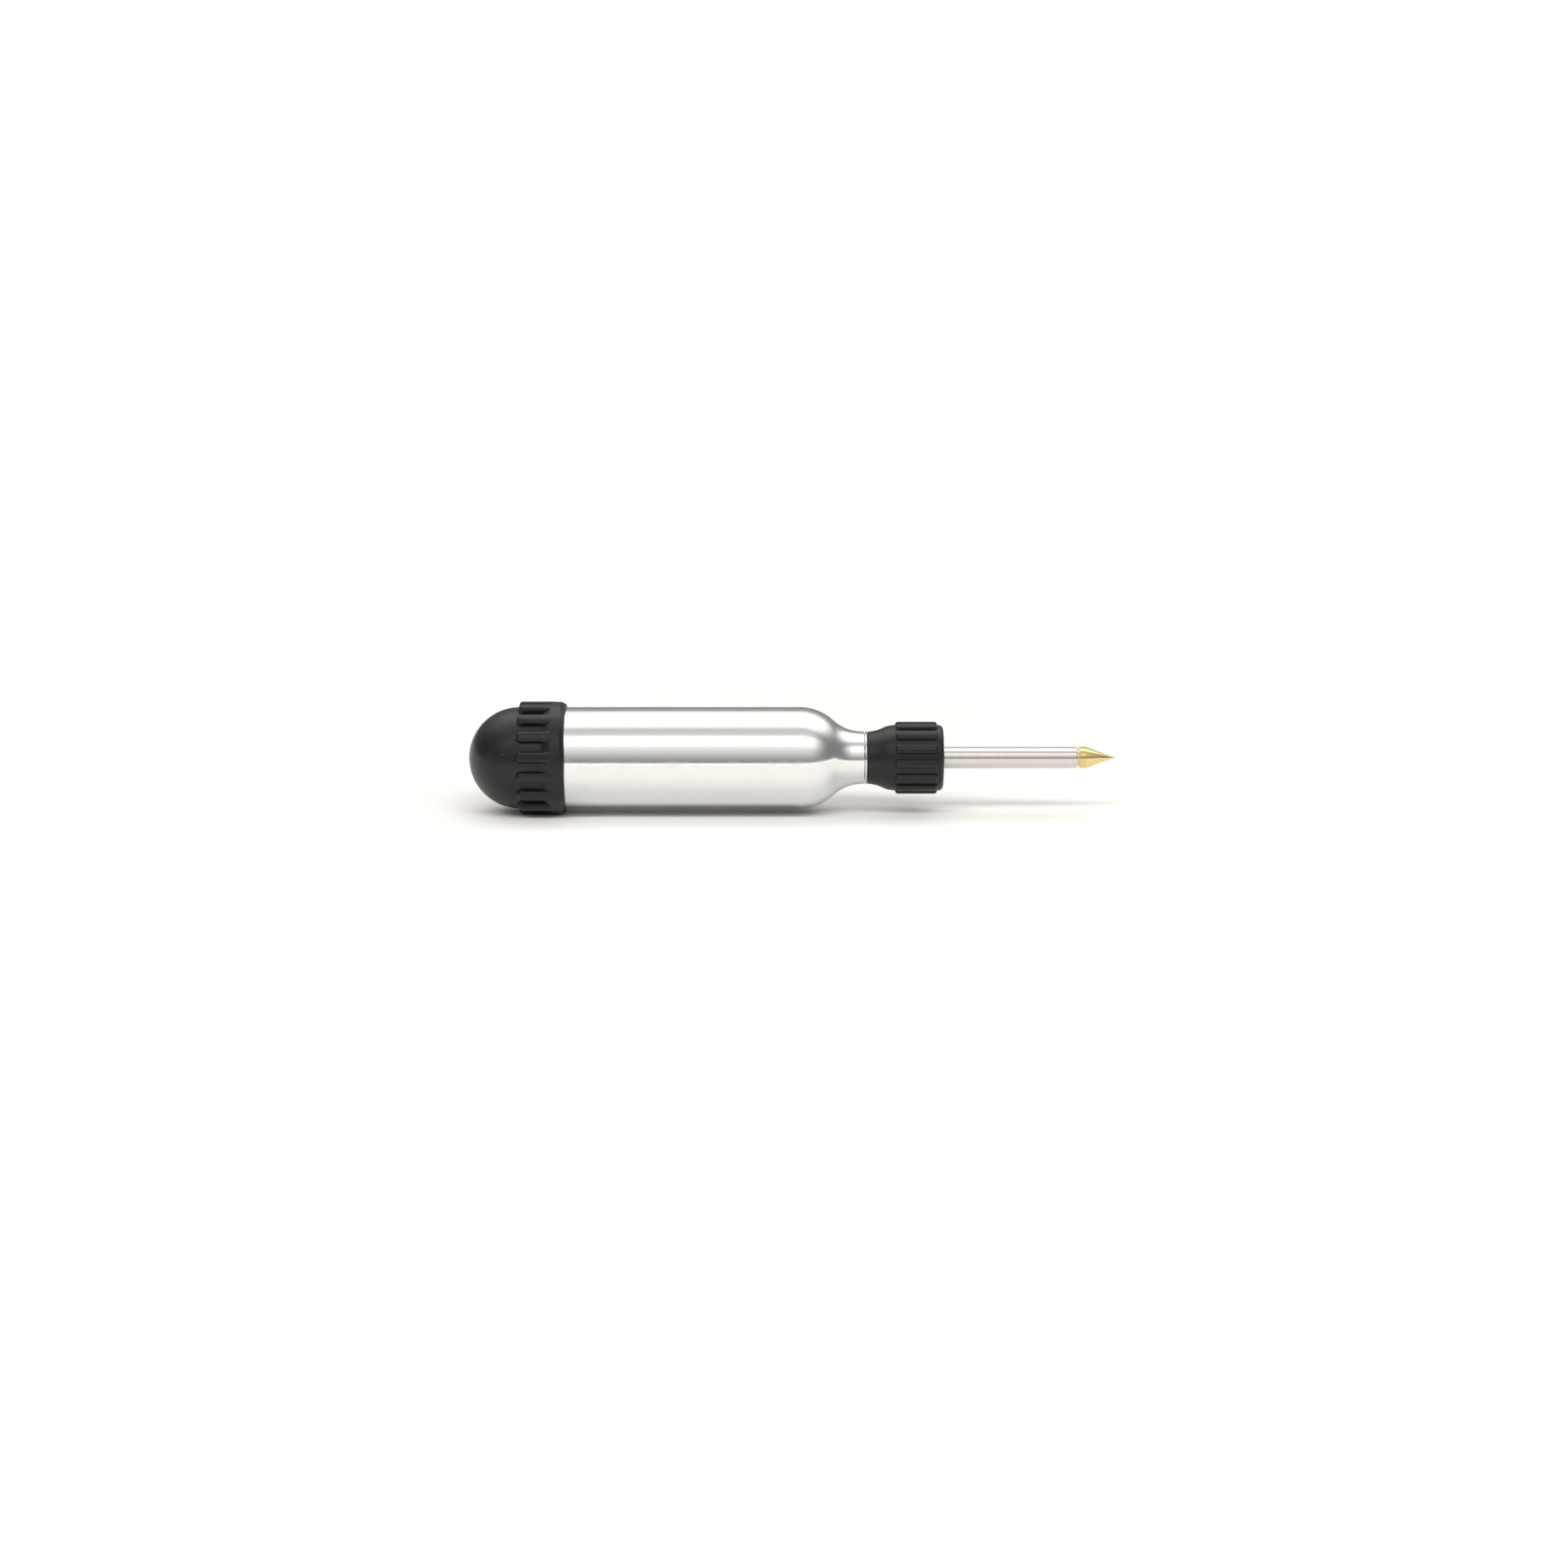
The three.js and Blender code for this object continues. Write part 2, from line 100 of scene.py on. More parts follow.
PAPER_HALF_WIDTH = 6
PAPER_HALF_DEPTH = 4.25
PAPER_BACK = 3.7
bm = bmesh.new()
bmesh.ops.create_grid(bm, x_segments=1, y_segments=1, size=1)
bmesh.ops.scale(bm, vec=(PAPER_HALF_WIDTH, PAPER_HALF_DEPTH, 1), verts=bm.verts)
bmesh.ops.translate(bm, vec=(0, PAPER_BACK, 0), verts=bm.verts)
paper_mesh = bpy.data.meshes.new("paper")
bm.to_mesh(paper_mesh)
bm.free()
paper = bpy.data.objects.new("paper", paper_mesh)
bpy.context.scene.collection.objects.link(paper)

# The paper glows more the further it lies from the tool, so that it fades into the white room.
paper_white = bpy.data.materials.new("paper_white")
paper_white.use_nodes = True
tree = paper_white.node_tree
shader = tree.nodes["Principled BSDF"]
shader.inputs["Base Color"].default_value = (0.70, 0.69, 0.67, 1)
shader.inputs["Roughness"].default_value = 0.6
shader.inputs["Specular IOR Level"].default_value = 0.1
shader.inputs["Emission Color"].default_value = (1, 1, 1, 1)
place = node(tree, "ShaderNodeTexCoord")
from_tool = node(tree, "ShaderNodeVectorMath", operation="LENGTH")
tree.links.new(place.outputs["Object"], from_tool.inputs[0])
glow = node(tree, "ShaderNodeMapRange", interpolation_type="SMOOTHSTEP", From_Min=0.06, From_Max=0.9,
            To_Max=0.9)
tree.links.new(from_tool.outputs["Value"], glow.inputs["Value"])
tree.links.new(glow.outputs["Result"], shader.inputs["Emission Strength"])
paper_mesh.materials.append(paper_white)

# The room's brightness by angle round the tool's axis: 0 is level in front, 90 overhead and 180 level
# behind. The ends of the room are dimmer, and the camera itself sees plain white.
ROOM = [(-180, 0.48), (-60, 0.32), (-4, 0.22), (2, 0.32), (9, 0.45), (15, 0.58), (23, 0.80), (33, 1.0),
        (39, 1.45), (59, 1.5), (65, 0.75), (79, 0.69), (86, 1.3), (104, 2.3), (118, 2.3), (132, 1.5),
        (139, 0.88), (149, 0.40), (180, 0.22)]
ROOM_BRIGHTEST = 2.3
ROOM_END = 0.26
ROOM_TINT = (1, 0.985, 0.95)
room = bpy.data.worlds.new("room")
bpy.context.scene.world = room
room.use_nodes = True
tree = room.node_tree
tree.nodes.clear()
direction = node(tree, "ShaderNodeTexCoord")
split = node(tree, "ShaderNodeSeparateXYZ")
tree.links.new(direction.outputs["Generated"], split.inputs[0])
forward = node(tree, "ShaderNodeMath", operation="MULTIPLY")
forward.inputs[1].default_value = -1
tree.links.new(split.outputs["Y"], forward.inputs[0])
angle = node(tree, "ShaderNodeMath", operation="ARCTAN2")
tree.links.new(split.outputs["Z"], angle.inputs[0])
tree.links.new(forward.outputs[0], angle.inputs[1])
turn_share = node(tree, "ShaderNodeMapRange", From_Min=-pi, From_Max=pi)
tree.links.new(angle.outputs[0], turn_share.inputs["Value"])
ramp = node(tree, "ShaderNodeValToRGB")
while len(ramp.color_ramp.elements) < len(ROOM):
    ramp.color_ramp.elements.new(0.5)
for stop, (degrees, level) in zip(ramp.color_ramp.elements, ROOM):
    stop.position = (degrees + 180) / 360
    stop.color = (*[level / ROOM_BRIGHTEST * tint for tint in ROOM_TINT], 1)
tree.links.new(turn_share.outputs["Result"], ramp.inputs["Fac"])
sideways = node(tree, "ShaderNodeMath", operation="ABSOLUTE")
tree.links.new(split.outputs["X"], sideways.inputs[0])
dimming = node(tree, "ShaderNodeMapRange", interpolation_type="SMOOTHSTEP", From_Min=0.38, From_Max=0.93)
tree.links.new(sideways.outputs[0], dimming.inputs["Value"])
ended = node(tree, "ShaderNodeMix", data_type="RGBA")
ended.inputs["B"].default_value = (*[ROOM_END / ROOM_BRIGHTEST] * 3, 1)
tree.links.new(dimming.outputs["Result"], ended.inputs["Factor"])
tree.links.new(ramp.outputs["Color"], ended.inputs["A"])
mirrored = node(tree, "ShaderNodeBackground", Strength=ROOM_BRIGHTEST)
tree.links.new(ended.outputs["Result"], mirrored.inputs["Color"])
seen = node(tree, "ShaderNodeBackground", Color=(1, 1, 1, 1))
chosen = node(tree, "ShaderNodeMixShader")
ray = node(tree, "ShaderNodeLightPath")
tree.links.new(ray.outputs["Is Camera Ray"], chosen.inputs["Fac"])
tree.links.new(mirrored.outputs[0], chosen.inputs[1])
tree.links.new(seen.outputs[0], chosen.inputs[2])
world_output = node(tree, "ShaderNodeOutputWorld")
tree.links.new(chosen.outputs[0], world_output.inputs["Surface"])

# ---- Handle -------------------------------------------------------------------------------------
# Turned from one inch aluminium bar and polished: a hollow body that stores the spares, a round
# shoulder and a slim neck tapped for the head. The spigot behind its rear edge holds the cap.
STATION_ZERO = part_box("end_cap")[0].x
TO_FRAME = Matrix.Translation((STATION_ZERO, 0, AXIS_HEIGHT)) @ Matrix.Scale(0.001, 4)


def span(name):
    """Stations of a CAD node's rear and front ends, in millimetres."""
    return tuple((corner.x - STATION_ZERO) * 1000 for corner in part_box(name))


def radius(name):
    """Radius of a round CAD node that lies along the tool, in millimetres."""
    low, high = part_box(name)
    return (high.y - low.y) * 500


def rounded(corners, steps=5):
    """Outline points (station, radius), with each corner that has a third value filleted by it."""
    points = []
    for i, corner in enumerate(corners):
        here = Vector(corner[:2])
        if len(corner) == 2:
            points.append(here)
            continue
        before = (Vector(corners[i - 1][:2]) - here).normalized()
        after = (Vector(corners[(i + 1) % len(corners)][:2]) - here).normalized()
        half = before.angle(after) / 2
        centre = here + (before + after).normalized() * corner[2] / sin(half)
        start = here + before * corner[2] / tan(half) - centre
        sweep = start.angle_signed(here + after * corner[2] / tan(half) - centre)
        for step in range(steps + 1):
            a = -sweep * step / steps
            turned = (start.x * cos(a) - start.y * sin(a), start.x * sin(a) + start.y * cos(a))
            points.append(centre + Vector(turned))
    return points


def arc(centre, arc_radius, start, end, steps):
    """Points round a centre (station, radius); 0 degrees points forward and 90 away from the axis."""
    turns = [radians(start + (end - start) * i / steps) for i in range(steps + 1)]
    return [(centre[0] + arc_radius * cos(a), centre[1] + arc_radius * sin(a)) for a in turns]


def spun(outline, columns=128, closed=True):
    """A surface turned about the tool's axis from an outline of (station, radius) points."""
    bm = bmesh.new()
    verts = [bm.verts.new((p[0], 0, p[1])) for p in outline]
    edges = [bm.edges.new(pair) for pair in zip(verts, verts[1:] + verts[:1])]
    if not closed:
        bm.edges.remove(edges.pop())
    bmesh.ops.spin(bm, geom=verts + edges, cent=(0, 0, 0), axis=(1, 0, 0), dvec=(0, 0, 0),
                   angle=2 * pi, steps=columns, use_merge=True, use_duplicate=False)
    bmesh.ops.remove_doubles(bm, verts=bm.verts, dist=1e-5)
    bmesh.ops.recalc_face_normals(bm, faces=bm.faces)
    return bm


def finished(name, bm, material):
    """Puts a piece made in millimetres into the frame as an object with smooth shading."""
    bm.transform(TO_FRAME)
    mesh = bpy.data.meshes.new(name)
    bm.to_mesh(mesh)
    bm.free()
    mesh.shade_smooth()
    mesh.set_sharp_from_angle(angle=radians(38))
    mesh.materials.append(material)
    piece = bpy.data.objects.new(name, mesh)
    bpy.context.scene.collection.objects.link(piece)
    return piece


THREAD_PITCH = 1.5
THREAD_REAR = 89.0
NECK_SEAT = 97.6


def threaded(bm, root, crest, rear, front):
    """Moves the wall between two stations out and in along a right-hand helix."""
    for v in bm.verts:
        distance = hypot(v.co.y, v.co.z)
        if rear < v.co.x < front and distance < crest + 0.1:
            share = (v.co.x / THREAD_PITCH - atan2(-v.co.y, v.co.z) / (2 * pi)) % 1
            rise = min(1, max(0, 1.5 - abs(share - 0.375) * 4))
            wanted = root + (crest - root) * rise
            v.co.y *= wanted / distance
            v.co.z *= wanted / distance


def along(rear, front, at_radius, step):
    """Evenly spaced outline points on a plain bore or shank, from rear to front."""
    count = round(abs(front - rear) / step)
    return [(rear + (front - rear) * i / count, at_radius) for i in range(count + 1)]


handle_rear, neck_face = span("handle_shell")
handle_radius = radius("handle_shell")
SPIGOT_RADIUS = 10.9
SPIGOT_SHOULDER = 21.6
STORE_RADIUS = 9.6
STORE_FRONT = 80.5
SHOULDER_START = 82.5
SHOULDER_ROUND = 12.65
NECK_ROUND = 10.2
NECK_RADIUS = 6.6
NECK_BORE = 4.75
NECK_CREST = 5.55
SEAT_RADIUS = 5.85
STORE_CONE = 4
MID_BODY = 40
SWING = 42.86
neck_start = SHOULDER_START + (SHOULDER_ROUND + NECK_ROUND) * sin(radians(SWING))

outline = rounded([
    (handle_rear, STORE_RADIUS, 0.15), (handle_rear, SPIGOT_RADIUS, 0.5),
    (SPIGOT_SHOULDER, SPIGOT_RADIUS), (SPIGOT_SHOULDER, handle_radius, 0.25),
    (MID_BODY, handle_radius),
    *arc((SHOULDER_START, handle_radius - SHOULDER_ROUND), SHOULDER_ROUND, 90, 90 - SWING, 28),
    *arc((neck_start, NECK_RADIUS + NECK_ROUND), NECK_ROUND, 270 - SWING, 270, 24)[1:],
    (neck_face, NECK_RADIUS, 0.3), (neck_face, SEAT_RADIUS, 0.15),
    (NECK_SEAT, SEAT_RADIUS), (NECK_SEAT, NECK_BORE + 0.4),
    *along(NECK_SEAT - 0.01, THREAD_REAR, NECK_BORE, THREAD_PITCH / 14),
    (STORE_FRONT + STORE_CONE, NECK_BORE), (STORE_FRONT, STORE_RADIUS, 0.5), (MID_BODY, STORE_RADIUS)])
bm = spun(outline, columns=160)
threaded(bm, NECK_BORE, NECK_CREST, THREAD_REAR, NECK_SEAT)


def new_group(name, inputs, outputs):
    """An empty shader node group with float inputs (name, default) and float or colour outputs."""
    group = bpy.data.node_groups.new(name, "ShaderNodeTree")
    for label, value in inputs:
        socket = group.interface.new_socket(label, in_out="INPUT", socket_type="NodeSocketFloat")
        socket.default_value = value
    for label, kind in outputs:
        group.interface.new_socket(label, in_out="OUTPUT", socket_type=kind)
    return group, group.nodes.new("NodeGroupInput"), group.nodes.new("NodeGroupOutput")


def turning_marks():
    """Group: rings that a lathe tool and polishing cloth leave, as a height and a roughness."""
    group, given, out = new_group(
        "turning_marks", [("Rings", 5000), ("Smooth", 0.2), ("Rough", 0.3)],
        [("Height", "NodeSocketFloat"), ("Roughness", "NodeSocketFloat"), ("Mottle", "NodeSocketFloat")])
    place = node(group, "ShaderNodeTexCoord")
    stretch = node(group, "ShaderNodeMapping")
    group.links.new(place.outputs["Object"], stretch.inputs["Vector"])
    scale = node(group, "ShaderNodeCombineXYZ", Y=90.0, Z=90.0)
    group.links.new(given.outputs["Rings"], scale.inputs["X"])
    group.links.new(scale.outputs[0], stretch.inputs["Scale"])
    rings = node(group, "ShaderNodeTexNoise", Scale=1.0, Detail=3.0, Roughness=0.6)
    group.links.new(stretch.outputs[0], rings.inputs["Vector"])
    mottle = node(group, "ShaderNodeTexNoise", Scale=420.0, Detail=4.0, Roughness=0.65)
    group.links.new(place.outputs["Object"], mottle.inputs["Vector"])
    joined = node(group, "ShaderNodeMath", operation="MULTIPLY_ADD")
    joined.inputs[1].default_value = 0.14
    group.links.new(mottle.outputs["Fac"], joined.inputs[0])
    group.links.new(rings.outputs["Fac"], joined.inputs[2])
    group.links.new(joined.outputs[0], out.inputs["Height"])
    level = node(group, "ShaderNodeMapRange", From_Min=0.35, From_Max=0.7)
    group.links.new(mottle.outputs["Fac"], level.inputs["Value"])
    group.links.new(given.outputs["Smooth"], level.inputs["To Min"])
    group.links.new(given.outputs["Rough"], level.inputs["To Max"])
    group.links.new(level.outputs[0], out.inputs["Roughness"])
    group.links.new(mottle.outputs["Fac"], out.inputs["Mottle"])
    return group


TURNING_MARKS = turning_marks()


def turned_metal(name, bright, dull, rings, smooth, rough, depth):
    """A metal finish with turning marks and a faint mottle between two near colours."""
    material = bpy.data.materials.new(name)
    material.use_nodes = True
    tree = material.node_tree
    shader = tree.nodes["Principled BSDF"]
    shader.inputs["Metallic"].default_value = 1
    marks = node(tree, "ShaderNodeGroup", node_tree=TURNING_MARKS)
    marks.inputs["Rings"].default_value = rings
    marks.inputs["Smooth"].default_value = smooth
    marks.inputs["Rough"].default_value = rough
    tint = node(tree, "ShaderNodeMix", data_type="RGBA")
    tint.inputs["A"].default_value = (*bright, 1)
    tint.inputs["B"].default_value = (*dull, 1)
    tree.links.new(marks.outputs["Mottle"], tint.inputs["Factor"])
    tree.links.new(tint.outputs["Result"], shader.inputs["Base Color"])
    tree.links.new(marks.outputs["Roughness"], shader.inputs["Roughness"])
    bump = node(tree, "ShaderNodeBump", Strength=1.0, Distance=depth)
    tree.links.new(marks.outputs["Height"], bump.inputs["Height"])
    tree.links.new(bump.outputs["Normal"], shader.inputs["Normal"])
    return material


polished_aluminium = turned_metal(
    "polished_aluminium", bright=(0.84, 0.84, 0.83), dull=(0.74, 0.74, 0.74), rings=9000,
    smooth=0.10, rough=0.20, depth=0.0000045)
handle = finished("handle", bm, polished_aluminium)
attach(handle, "handle")
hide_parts("handle_shell")

# ---- Neck seal and washer -----------------------------------------------------------------------
# A small O-ring lies in the mouth of the neck, under a polished steel washer that the collar turns
# against. Only the washer's thin bright edge shows while the head is screwed home.
SEAL_SECTION_RADIUS = 0.43
seal_rear, seal_front = span("neck_seal")
seal_middle = ((seal_rear + seal_front) / 2, radius("neck_seal") - SEAL_SECTION_RADIUS)
bm = spun(arc(seal_middle, SEAL_SECTION_RADIUS, 0, 360, 16)[1:], columns=96)

washer_rear, washer_front = span("thrust_washer")
washer_radius = radius("thrust_washer")
WASHER_BORE = 4.75
WASHER_EDGE = 0.2
DUST = (0.22, 0.21, 0.20)


def rubber(name, colour, roughness, grain, depth, specks):
    """Moulded rubber: a fine cast grain, soft broad highlights and a little pale dust."""
    material = bpy.data.materials.new(name)
    material.use_nodes = True
    tree = material.node_tree
    shader = tree.nodes["Principled BSDF"]
    shader.inputs["Specular IOR Level"].default_value = 0.38
    place = node(tree, "ShaderNodeTexCoord")
    fine = node(tree, "ShaderNodeTexNoise", Scale=grain, Detail=3.0, Roughness=0.7)
    broad = node(tree, "ShaderNodeTexNoise", Scale=grain / 25, Detail=2.0)
    dust = node(tree, "ShaderNodeTexNoise", Scale=grain / 4, Detail=2.0, Roughness=0.8)
    for texture in (fine, broad, dust):
        tree.links.new(place.outputs["Object"], texture.inputs["Vector"])
    mask = node(tree, "ShaderNodeMapRange", From_Min=0.70, From_Max=0.78, To_Max=specks)
    tree.links.new(dust.outputs["Fac"], mask.inputs["Value"])
    tint = node(tree, "ShaderNodeMix", data_type="RGBA")
    tint.inputs["A"].default_value = (*colour, 1)
    tint.inputs["B"].default_value = (*DUST, 1)
    tree.links.new(mask.outputs[0], tint.inputs["Factor"])
    tree.links.new(tint.outputs["Result"], shader.inputs["Base Color"])
    matt = node(tree, "ShaderNodeMapRange", From_Min=0.3, From_Max=0.7, To_Min=roughness - 0.05,
                To_Max=roughness + 0.07)
    tree.links.new(broad.outputs["Fac"], matt.inputs["Value"])
    tree.links.new(matt.outputs[0], shader.inputs["Roughness"])
    bump = node(tree, "ShaderNodeBump", Strength=1.0, Distance=depth)
    tree.links.new(fine.outputs["Fac"], bump.inputs["Height"])
    tree.links.new(bump.outputs["Normal"], shader.inputs["Normal"])
    return material


seal_rubber = rubber("seal_rubber", (0.011, 0.011, 0.012), 0.42, grain=9000, depth=0.000004, specks=0)
neck_seal = finished("neck_o_ring", bm, seal_rubber)
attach(neck_seal, "screw_carriage")
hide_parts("neck_seal")

bm = spun(rounded([
    (washer_rear, WASHER_BORE, WASHER_EDGE), (washer_rear, washer_radius, WASHER_EDGE),
    (washer_front, washer_radius, WASHER_EDGE), (washer_front, WASHER_BORE, WASHER_EDGE)], steps=3))
polished_steel = turned_metal(
    "polished_steel", bright=(0.80, 0.80, 0.79), dull=(0.72, 0.72, 0.72), rings=9000,
    smooth=0.05, rough=0.10, depth=0.000001)
washer = finished("neck_washer", bm, polished_steel)
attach(washer, "screw_carriage")
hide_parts("thrust_washer")

# ---- Carrier ------------------------------------------------------------------------------------
# Aluminium insert that joins head and handle. Its thread screws in the neck, and the rubber collar
# is moulded round its hexagonal core. The tube is held in the bore by a ferrule and a grub screw.
carrier_rear, carrier_front = span("tube_carrier")
THREAD_FRONT = 97.5
MALE_ROOT = 4.6
MALE_CREST = 5.4
POCKET_RADIUS = 3.5
POCKET_FRONT = 107.2
TUBE_HOLE = 2.78
CORE_REAR = 99.35
CORE_HALF_FLAT = 4.8
LEAD_IN = 1.0


def to_hexagon(v):
    """Moves a vertex from the circle inside a hexagon out to the hexagon's flats."""
    within = (atan2(v.co.z, v.co.y) + pi / 6) % (pi / 3) - pi / 6
    v.co.y /= cos(within)
    v.co.z /= cos(within)


outline = rounded([
    (carrier_front, TUBE_HOLE), (POCKET_FRONT, TUBE_HOLE), (POCKET_FRONT, POCKET_RADIUS),
    (carrier_rear, POCKET_RADIUS, 0.15), *along(carrier_rear, THREAD_FRONT, MALE_ROOT, THREAD_PITCH / 14),
    (CORE_REAR, MALE_ROOT), (CORE_REAR, CORE_HALF_FLAT, 0.1), (carrier_front, CORE_HALF_FLAT, 0.2)])
bm = spun(outline, columns=144)
threaded(bm, MALE_ROOT, MALE_CREST, carrier_rear + 0.01, THREAD_FRONT)
# The rear end of the thread is tapered, so that it finds its way in.
for v in bm.verts:
    distance = hypot(v.co.y, v.co.z)
    most = MALE_ROOT - LEAD_IN + (v.co.x - carrier_rear + 0.4) * 1.2
    if v.co.x < THREAD_FRONT and distance > max(most, POCKET_RADIUS + 0.2):
        v.co.y *= most / distance
        v.co.z *= most / distance
    if v.co.x >= CORE_REAR and distance > CORE_HALF_FLAT - 0.25:
        to_hexagon(v)
carrier = finished("tube_carrier_insert", bm, polished_aluminium)
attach(carrier, "head")
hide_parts("tube_carrier")

# ---- Insertion tube, ferrule and grub screw -----------------------------------------------------
# Drawn stainless tube with a chamfered mouth. A brass ferrule is brazed on its rear end and bears
# on the front of the carrier's pocket, and a grub screw behind it takes the push.
tube_rear, tube_front = span("insertion_tube")
tube_radius = radius("insertion_tube")
TUBE_BORE = 2.2
outline = rounded([
    (tube_rear, TUBE_BORE, 0.05), (tube_rear, tube_radius, 0.1), (tube_front - 0.18, tube_radius, 0.12),
    (tube_front, tube_radius - 0.16, 0.06), (tube_front, TUBE_BORE, 0.08)], steps=4)
bm = spun(outline, columns=96)
drawn_stainless = turned_metal(
    "drawn_stainless", bright=(0.70, 0.675, 0.65), dull=(0.60, 0.575, 0.55), rings=2500,
    smooth=0.13, rough=0.22, depth=0.0000012)
tube = finished("steel_tube", bm, drawn_stainless)
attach(tube, "head")
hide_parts("insertion_tube")

ferrule_rear, ferrule_front = span("tube_ferrule")
ferrule_radius = radius("tube_ferrule")
BRAZE = 0.06
bm = spun(rounded([
    (ferrule_rear, TUBE_BORE, 0.2), (ferrule_rear, ferrule_radius, 0.25),
    (ferrule_front, ferrule_radius, 0.1), (ferrule_front, tube_radius + BRAZE),
    (tube_rear - BRAZE, tube_radius + BRAZE), (tube_rear - BRAZE, TUBE_BORE)], steps=4), columns=64)
turned_brass = turned_metal(
    "turned_brass", bright=(0.83, 0.67, 0.36), dull=(0.72, 0.55, 0.26), rings=6000,
    smooth=0.14, rough=0.24, depth=0.000004)
ferrule = finished("brass_ferrule", bm, turned_brass)
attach(ferrule, "head")
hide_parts("tube_ferrule")

screw_rear, screw_front = span("retaining_screw")
screw_radius = radius("retaining_screw")
SOCKET_HALF_FLAT = 1.5
SOCKET_DEPTH = 2.4
outline = rounded([
    (screw_rear + SOCKET_DEPTH, 0), (screw_rear + SOCKET_DEPTH, SOCKET_HALF_FLAT),
    (screw_rear, SOCKET_HALF_FLAT), (screw_rear, screw_radius, 0.35),
    (screw_front, screw_radius, 0.35), (screw_front, 0)])
bm = spun(outline, columns=96, closed=False)
for v in bm.verts:
    distance = hypot(v.co.y, v.co.z)
    if 0.1 < distance < SOCKET_HALF_FLAT + 0.01 and v.co.x < screw_front - 0.01:
        to_hexagon(v)
grub_screw = finished("grub_screw", bm, drawn_stainless)
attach(grub_screw, "head")
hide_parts("retaining_screw")

# ---- Collar -------------------------------------------------------------------------------------
# Black rubber moulded round the carrier: a slim waist at the neck, a ribbed grip for the fingers
# and a flat front face, which stops against the tread when the plug is deep enough.
GripRibs = namedtuple("GripRibs", ["count", "crown", "half_width", "rounding", "corner"])
ROUNDING_SHARES = (1, 0.72, 0.48, 0.3, 0.16, 0.07, 0.02)
CROWN_FALL = 0.10


def ribbed(outline, rib):
    """A turned shell with its columns gathered where the ribs' rounded edges will be."""
    pitch = 2 * pi / rib.count
    edges_in = [rib.half_width - rib.rounding * share for share in ROUNDING_SHARES]
    marks = [0, edges_in[0] / 2, *edges_in, rib.half_width + 0.01, rib.half_width + 0.2]
    marks = [mark / rib.crown for mark in marks]
    marks += [(rib.half_width / rib.crown + pitch / 2) / 2 + 0.01, pitch / 2]
    angles = sorted({round(side * m, 9) for m in marks for side in (-1, 1)})
    bm = bmesh.new()
    verts = [bm.verts.new((p[0], 0, p[1])) for p in outline]
    edges = [bm.edges.new(pair) for pair in zip(verts, verts[1:])]
    moving = verts + edges
    for _ in range(rib.count):
        for a, b in zip(angles, angles[1:]):
            made = bmesh.ops.spin(bm, geom=moving, cent=(0, 0, 0), axis=(1, 0, 0), dvec=(0, 0, 0),
                                  angle=b - a, steps=1, use_merge=False, use_duplicate=False)
            moving = made["geom_last"]
    bmesh.ops.remove_doubles(bm, verts=bm.verts, dist=1e-4)
    bmesh.ops.recalc_face_normals(bm, faces=bm.faces)
    return bm


def raise_ribs(bm, rib, rear, front, outer):
    """Moves a shell's outer wall out to ribs with round edges, corners and ends, between two
    stations. The first gap lies at the top. `outer` is the least radius of the outer wall."""
    pitch = 2 * pi / rib.count
    for v in bm.verts:
        distance = hypot(v.co.y, v.co.z)
        if not rear < v.co.x < front or not outer < distance < rib.crown:
            continue
        off = abs(atan2(v.co.y, v.co.z) % pitch - pitch / 2) * rib.crown
        side = rib.corner - (rib.half_width - off)
        end = rib.corner - min(v.co.x - rear, front - v.co.x)
        inside = rib.corner - (hypot(side, end) if side > 0 and end > 0 else max(side, end))
        if inside <= 0:
            continue
        rise = (1 - (1 - min(1, inside / rib.rounding)) ** 2) ** 0.5
        top = rib.crown - CROWN_FALL * (off / rib.half_width) ** 2
        wanted = distance + max(0, top - distance) * rise
        v.co.y *= wanted / distance
        v.co.z *= wanted / distance


collar_rear, collar_front = span("grip_collar")
COLLAR_BORE = 2.93
COLLAR_CORE = 8.2
RIB_REAR = 106.3
RIB_FRONT = 116.8
WAIST = [(0.35, 6.55), (1.3, 6.66), (2.1, 6.84), (2.9, 7.08), (3.8, 7.45), (4.6, 7.82), (5.4, 8.03),
         (6.4, 8.16)]
COLLAR_RIB = GripRibs(count=14, crown=9.0, half_width=1.25, rounding=0.62, corner=0.7)
REAR_RADIUS = 6.5

# The outline's points lie closer together at the ends of the ribs.
outline = rounded([
    (collar_rear, COLLAR_BORE), (collar_rear, REAR_RADIUS, 0.3),
    *((collar_rear + x, r) for x, r in WAIST),
    *along(RIB_REAR - 0.2, RIB_REAR + 1.4, COLLAR_CORE, 0.1),
    *along(RIB_REAR + 2.4, RIB_FRONT - 2.4, COLLAR_CORE, 1.0),
    *along(RIB_FRONT - 1.4, RIB_FRONT + 0.1, COLLAR_CORE, 0.1),
    (collar_front, COLLAR_CORE, 1.15), (collar_front, COLLAR_BORE, 0.2)], steps=8)
outline.append(outline[0])
bm = ribbed(outline, COLLAR_RIB)
raise_ribs(bm, COLLAR_RIB, rear=RIB_REAR, front=RIB_FRONT, outer=7.5)
black_rubber = rubber(
    "black_rubber", (0.0045, 0.0042, 0.0048), 0.34, grain=5200, depth=0.000010, specks=0.35)
collar = finished("rubber_collar", bm, black_rubber)
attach(collar, "head")
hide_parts("grip_collar")

